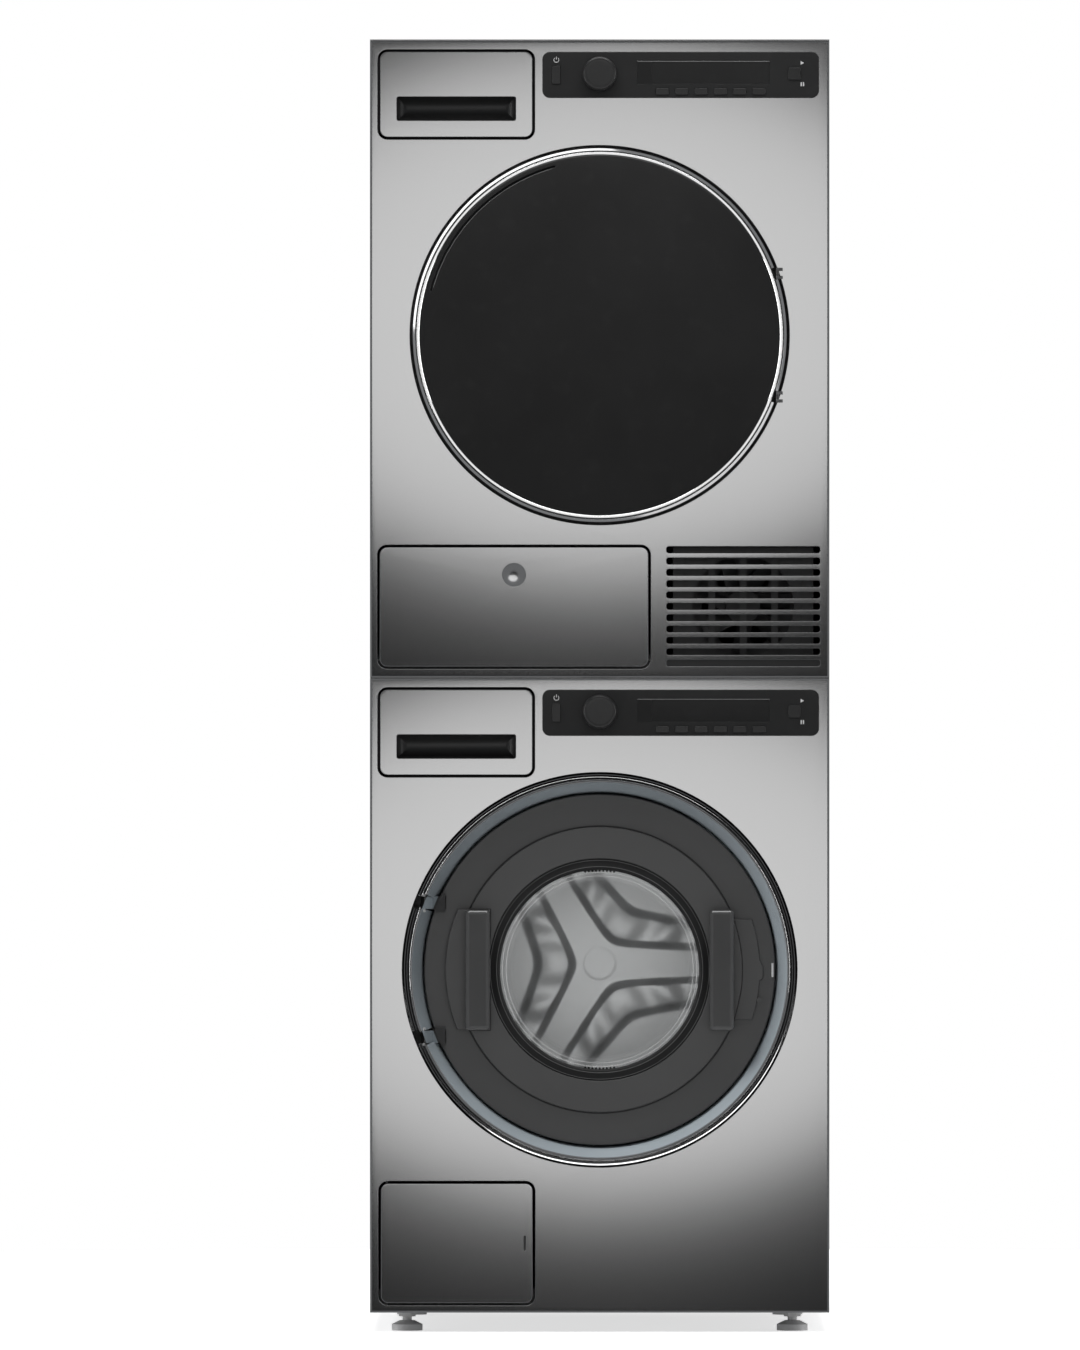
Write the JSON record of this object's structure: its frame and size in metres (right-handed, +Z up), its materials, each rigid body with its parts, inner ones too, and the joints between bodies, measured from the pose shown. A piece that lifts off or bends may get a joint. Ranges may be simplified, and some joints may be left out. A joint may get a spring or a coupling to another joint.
{
  "type": "washer dryer stack",
  "caption": "Front-loading washing machine with a tumble dryer stacked on it, brushed steel fronts, round doors, black control panels and pull-out drawers.",
  "frame": {"origin": "centre of the bounding box in X and Y, on the floor under the feet", "axes": "+Z up, the doors face -Y, +X to the right as seen from the front"},
  "size_m": [0.595, 0.66, 1.674],
  "materials": {
    "base_frames": "galvanised sheet",
    "feet": "matt",
    "side_panels": "fine vertical brushing",
    "rear_covers": "galvanised sheet",
    "washer_front_panel": "fine vertical brushing",
    "dryer_front_panel": "fine vertical brushing",
    "dryer_top_cover": "fine vertical brushing",
    "rear_connections": "dark grey satin",
    "control_panels": "black satin",
    "display_windows": "black gloss",
    "washer_door_bezel": "blue grey satin",
    "door_bellows": "matt",
    "washer_tub": "pale grey",
    "suspension": "zinc plated",
    "drive_motors": "cast",
    "drive_belts": "matt",
    "drawer_housings": "pale grey",
    "drain_pump": "dark grey satin",
    "dryer_bulkheads": "galvanised sheet",
    "heat_pump": "cast",
    "washer_knob": "black satin",
    "dryer_knob": "black satin",
    "washer_power_button": "black satin",
    "dryer_power_button": "black satin",
    "washer_start_button": "black satin",
    "dryer_start_button": "black satin",
    "washer_key_1": "black satin",
    "washer_key_2": "black satin",
    "washer_key_3": "black satin",
    "washer_key_4": "black satin",
    "washer_key_5": "black satin",
    "washer_key_6": "black satin",
    "dryer_key_1": "black satin",
    "dryer_key_2": "black satin",
    "dryer_key_3": "black satin",
    "dryer_key_4": "black satin",
    "dryer_key_5": "black satin",
    "dryer_key_6": "black satin",
    "washer_door_disc": "dark grey satin",
    "washer_door_glass": "clear",
    "washer_door_gasket": "matt",
    "washer_door_handles": "dark grey satin",
    "washer_door_frame": "cast",
    "washer_drum": "stainless",
    "washer_drum_lifters": "stainless",
    "washer_drum_pulley": "cast",
    "washer_motor_pulley": "dark grey satin",
    "detergent_drawer_front": "fine vertical brushing",
    "detergent_tray": "pale grey",
    "service_flap": "fine vertical brushing",
    "dryer_door_face": "black gloss",
    "dryer_door_ring": "polished",
    "dryer_door_inner": "dark grey satin",
    "dryer_drum": "stainless",
    "dryer_drum_lifters": "stainless",
    "dryer_motor_pulley": "cast",
    "tank_drawer_front": "fine vertical brushing",
    "water_tank": "pale grey",
    "dryer_hatch": "fine vertical brushing",
    "cooling_fan": "dark grey satin"
  },
  "bodies": {
    "cabinet": {"base_frames": "base_frames", "feet": "feet", "side_panels": "side_panels", "rear_covers": "rear_covers", "washer_front_panel": "washer_front_panel", "dryer_front_panel": "dryer_front_panel", "dryer_top_cover": "dryer_top_cover", "rear_connections": "rear_connections", "control_panels": "control_panels", "display_windows": "display_windows", "washer_door_bezel": "washer_door_bezel", "door_bellows": "door_bellows", "washer_tub": "washer_tub", "suspension": "suspension", "drive_motors": "drive_motors", "drive_belts": "drive_belts", "drawer_housings": "drawer_housings", "drain_pump": "drain_pump", "dryer_bulkheads": "dryer_bulkheads", "heat_pump": "heat_pump"},
    "washer_door": {"washer_door_disc": "washer_door_disc", "washer_door_glass": "washer_door_glass", "washer_door_gasket": "washer_door_gasket", "washer_door_handles": "washer_door_handles", "washer_door_frame": "washer_door_frame"},
    "washer_drum_body": {"washer_drum": "washer_drum", "washer_drum_lifters": "washer_drum_lifters", "washer_drum_pulley": "washer_drum_pulley"},
    "washer_motor_shaft": {"washer_motor_pulley": "washer_motor_pulley"},
    "detergent_drawer": {"detergent_drawer_front": "detergent_drawer_front", "detergent_tray": "detergent_tray"},
    "service_flap_body": {"service_flap": "service_flap"},
    "dryer_door": {"dryer_door_face": "dryer_door_face", "dryer_door_ring": "dryer_door_ring", "dryer_door_inner": "dryer_door_inner"},
    "dryer_drum_body": {"dryer_drum": "dryer_drum", "dryer_drum_lifters": "dryer_drum_lifters"},
    "dryer_motor_shaft": {"dryer_motor_pulley": "dryer_motor_pulley"},
    "tank_drawer": {"tank_drawer_front": "tank_drawer_front", "water_tank": "water_tank"},
    "dryer_hatch_body": {"dryer_hatch": "dryer_hatch"},
    "fan": {"cooling_fan": "cooling_fan"},
    "washer_knob_body": {"washer_knob": "washer_knob"},
    "washer_power_button_body": {"washer_power_button": "washer_power_button"},
    "washer_start_button_body": {"washer_start_button": "washer_start_button"},
    "washer_key_1_body": {"washer_key_1": "washer_key_1"},
    "washer_key_2_body": {"washer_key_2": "washer_key_2"},
    "washer_key_3_body": {"washer_key_3": "washer_key_3"},
    "washer_key_4_body": {"washer_key_4": "washer_key_4"},
    "washer_key_5_body": {"washer_key_5": "washer_key_5"},
    "washer_key_6_body": {"washer_key_6": "washer_key_6"},
    "dryer_knob_body": {"dryer_knob": "dryer_knob"},
    "dryer_power_button_body": {"dryer_power_button": "dryer_power_button"},
    "dryer_start_button_body": {"dryer_start_button": "dryer_start_button"},
    "dryer_key_1_body": {"dryer_key_1": "dryer_key_1"},
    "dryer_key_2_body": {"dryer_key_2": "dryer_key_2"},
    "dryer_key_3_body": {"dryer_key_3": "dryer_key_3"},
    "dryer_key_4_body": {"dryer_key_4": "dryer_key_4"},
    "dryer_key_5_body": {"dryer_key_5": "dryer_key_5"},
    "dryer_key_6_body": {"dryer_key_6": "dryer_key_6"}
  },
  "joints": [
    {"name": "washer_door_hinge", "type": "hinge", "parent": "cabinet", "child": "washer_door", "pos_m": [-0.2285, -0.308, 0.469], "axis": [0, 0, -1], "range_deg": [0, 120]},
    {"name": "washer_drum_spin", "type": "hinge", "parent": "cabinet", "child": "washer_drum_body", "pos_m": [0, 0, 0.469], "axis": [0, 1, 0], "continuous": true},
    {"name": "washer_motor_spin", "type": "hinge", "parent": "cabinet", "child": "washer_motor_shaft", "pos_m": [0.13, 0.15, 0.13], "axis": [0, 1, 0], "continuous": true},
    {"name": "detergent_drawer_slide", "type": "slide", "parent": "cabinet", "child": "detergent_drawer", "axis": [0, -1, 0], "range_m": [0, 0.18]},
    {"name": "service_flap_hinge", "type": "hinge", "parent": "cabinet", "child": "service_flap_body", "pos_m": [-0.276, -0.3085, 0.115], "axis": [0, 0, -1], "range_deg": [0, 100]},
    {"name": "dryer_door_hinge", "type": "hinge", "parent": "cabinet", "child": "dryer_door", "pos_m": [0.2302, -0.3148, 1.291], "axis": [0, 0, 1], "range_deg": [0, 120]},
    {"name": "dryer_drum_spin", "type": "hinge", "parent": "cabinet", "child": "dryer_drum_body", "pos_m": [0, 0, 1.291], "axis": [0, 1, 0], "continuous": true},
    {"name": "dryer_motor_spin", "type": "hinge", "parent": "cabinet", "child": "dryer_motor_shaft", "pos_m": [0.19, 0.15, 0.942], "axis": [0, 1, 0], "continuous": true},
    {"name": "tank_drawer_slide", "type": "slide", "parent": "cabinet", "child": "tank_drawer", "axis": [0, -1, 0], "range_m": [0, 0.26]},
    {"name": "dryer_hatch_hinge", "type": "hinge", "parent": "cabinet", "child": "dryer_hatch_body", "pos_m": [-0.111, -0.3085, 0.87], "axis": [1, 0, 0], "range_deg": [0, 90]},
    {"name": "fan_spin", "type": "hinge", "parent": "cabinet", "child": "fan", "pos_m": [0.186, -0.272, 0.93975], "axis": [0, 1, 0], "continuous": true},
    {"name": "washer_knob_turn", "type": "hinge", "parent": "cabinet", "child": "washer_knob_body", "pos_m": [0, -0.312, 0.8033], "axis": [0, 1, 0], "continuous": true},
    {"name": "washer_power_button_press", "type": "slide", "parent": "cabinet", "child": "washer_power_button_body", "axis": [0, 1, 0], "range_m": [0, 0.0012], "stiffness_N_per_m": 300},
    {"name": "washer_start_button_press", "type": "slide", "parent": "cabinet", "child": "washer_start_button_body", "axis": [0, 1, 0], "range_m": [0, 0.0012], "stiffness_N_per_m": 300},
    {"name": "washer_key_1_press", "type": "slide", "parent": "cabinet", "child": "washer_key_1_body", "axis": [0, 1, 0], "range_m": [0, 0.0012], "stiffness_N_per_m": 300},
    {"name": "washer_key_2_press", "type": "slide", "parent": "cabinet", "child": "washer_key_2_body", "axis": [0, 1, 0], "range_m": [0, 0.0012], "stiffness_N_per_m": 300},
    {"name": "washer_key_3_press", "type": "slide", "parent": "cabinet", "child": "washer_key_3_body", "axis": [0, 1, 0], "range_m": [0, 0.0012], "stiffness_N_per_m": 300},
    {"name": "washer_key_4_press", "type": "slide", "parent": "cabinet", "child": "washer_key_4_body", "axis": [0, 1, 0], "range_m": [0, 0.0012], "stiffness_N_per_m": 300},
    {"name": "washer_key_5_press", "type": "slide", "parent": "cabinet", "child": "washer_key_5_body", "axis": [0, 1, 0], "range_m": [0, 0.0012], "stiffness_N_per_m": 300},
    {"name": "washer_key_6_press", "type": "slide", "parent": "cabinet", "child": "washer_key_6_body", "axis": [0, 1, 0], "range_m": [0, 0.0012], "stiffness_N_per_m": 300},
    {"name": "dryer_knob_turn", "type": "hinge", "parent": "cabinet", "child": "dryer_knob_body", "pos_m": [0, -0.312, 1.6293], "axis": [0, 1, 0], "continuous": true},
    {"name": "dryer_power_button_press", "type": "slide", "parent": "cabinet", "child": "dryer_power_button_body", "axis": [0, 1, 0], "range_m": [0, 0.0012], "stiffness_N_per_m": 300},
    {"name": "dryer_start_button_press", "type": "slide", "parent": "cabinet", "child": "dryer_start_button_body", "axis": [0, 1, 0], "range_m": [0, 0.0012], "stiffness_N_per_m": 300},
    {"name": "dryer_key_1_press", "type": "slide", "parent": "cabinet", "child": "dryer_key_1_body", "axis": [0, 1, 0], "range_m": [0, 0.0012], "stiffness_N_per_m": 300},
    {"name": "dryer_key_2_press", "type": "slide", "parent": "cabinet", "child": "dryer_key_2_body", "axis": [0, 1, 0], "range_m": [0, 0.0012], "stiffness_N_per_m": 300},
    {"name": "dryer_key_3_press", "type": "slide", "parent": "cabinet", "child": "dryer_key_3_body", "axis": [0, 1, 0], "range_m": [0, 0.0012], "stiffness_N_per_m": 300},
    {"name": "dryer_key_4_press", "type": "slide", "parent": "cabinet", "child": "dryer_key_4_body", "axis": [0, 1, 0], "range_m": [0, 0.0012], "stiffness_N_per_m": 300},
    {"name": "dryer_key_5_press", "type": "slide", "parent": "cabinet", "child": "dryer_key_5_body", "axis": [0, 1, 0], "range_m": [0, 0.0012], "stiffness_N_per_m": 300},
    {"name": "dryer_key_6_press", "type": "slide", "parent": "cabinet", "child": "dryer_key_6_body", "axis": [0, 1, 0], "range_m": [0, 0.0012], "stiffness_N_per_m": 300}
  ],
  "couplings": [
    {"joint": "washer_motor_spin", "follows": "washer_drum_spin", "ratio": 12.5},
    {"joint": "dryer_motor_spin", "follows": "dryer_drum_spin", "ratio": 32.75}
  ]
}
